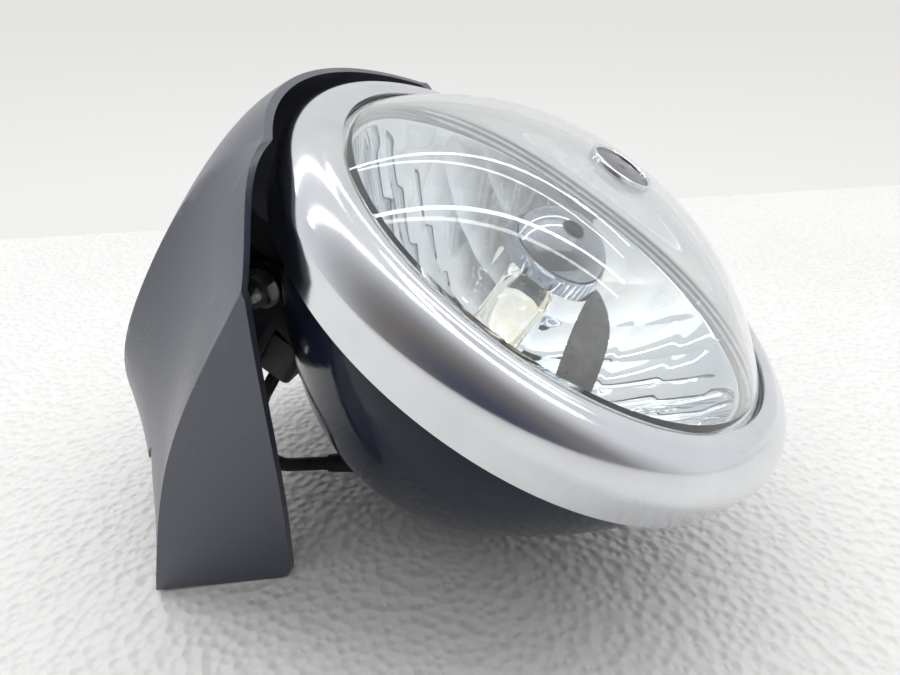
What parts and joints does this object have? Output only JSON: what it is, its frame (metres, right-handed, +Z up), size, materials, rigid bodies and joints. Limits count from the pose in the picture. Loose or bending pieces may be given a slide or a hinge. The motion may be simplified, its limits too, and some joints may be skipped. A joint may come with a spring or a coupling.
{
  "type": "motorcycle headlight",
  "caption": "Round motorcycle headlight: chrome-ringed domed lens in a black bowl, hung on an aiming knuckle under a cast visor with swept-back legs that bolts to the fork.",
  "frame": {"origin": "midway between the fork mount's holes, on the faces of their bosses", "axes": "+Z up, +Y to the rear along the mount's bolts, so the lens faces -Y, and +X to the rider's right hand seen from behind"},
  "size_m": [0.1646, 0.1669, 0.1873],
  "materials": {
    "visor_black": "satin black powder coat with a fine grain",
    "bucket_black": "gloss black enamel on pressed steel",
    "ring_chrome": "bright chrome plate",
    "lens_glass": "clear moulded glass",
    "bulb_quartz": "clear quartz tube",
    "dish_mirror": "aluminised faceted dish",
    "shield_bright": "bright drawn cup",
    "strap_grey": "dark grey strip",
    "zinc_steel": "zinc-plated fastener",
    "bracket_black": "black paint",
    "contact_brass": "plain brass",
    "medallion_field": "dark enamel field, bare",
    "soft_rubber": "black rubber",
    "black_plastic": "black nylon",
    "lead_sheath": "black vinyl sheath"
  },
  "bodies": {
    "visor": {"visor": "visor_black", "snap_plug": "black_plastic"},
    "swivel": {"swivel_knuckle": "bracket_black", "clamp_bolt": "zinc_steel", "clamp_washer": "zinc_steel", "pivot_bolt": "zinc_steel", "pivot_nut": "zinc_steel", "pivot_washers": "zinc_steel"},
    "lamp": {"bucket": "bucket_black", "trim_ring": "ring_chrome", "medallion_rim": "ring_chrome", "lens": "lens_glass", "bulb_glass": "bulb_quartz", "reflector": "dish_mirror", "shield_cup": "shield_bright", "shield_strap": "strap_grey", "ring_screw": "zinc_steel", "ring_nut": "zinc_steel", "saddle_rivets": "zinc_steel", "bulb_collar": "zinc_steel", "bulb_clip": "zinc_steel", "bucket_bracket": "bracket_black", "bulb_contacts": "contact_brass", "medallion_disc": "medallion_field", "rim_gasket": "soft_rubber", "bulb_boot": "soft_rubber", "strain_relief": "soft_rubber", "bulb_socket": "black_plastic", "lead_connector": "black_plastic", "lead": "lead_sheath"}
  },
  "joints": [
    {"name": "swivel_turn", "type": "hinge", "parent": "visor", "child": "swivel", "pos_m": [0, -0.048, 0.0167], "axis": [0, 0, 1], "range_deg": [-4, 4]},
    {"name": "tilt_turn", "type": "hinge", "parent": "swivel", "child": "lamp", "pos_m": [0, -0.048, -0.003], "axis": [1, 0, 0], "range_deg": [-2.5, 4]}
  ]
}
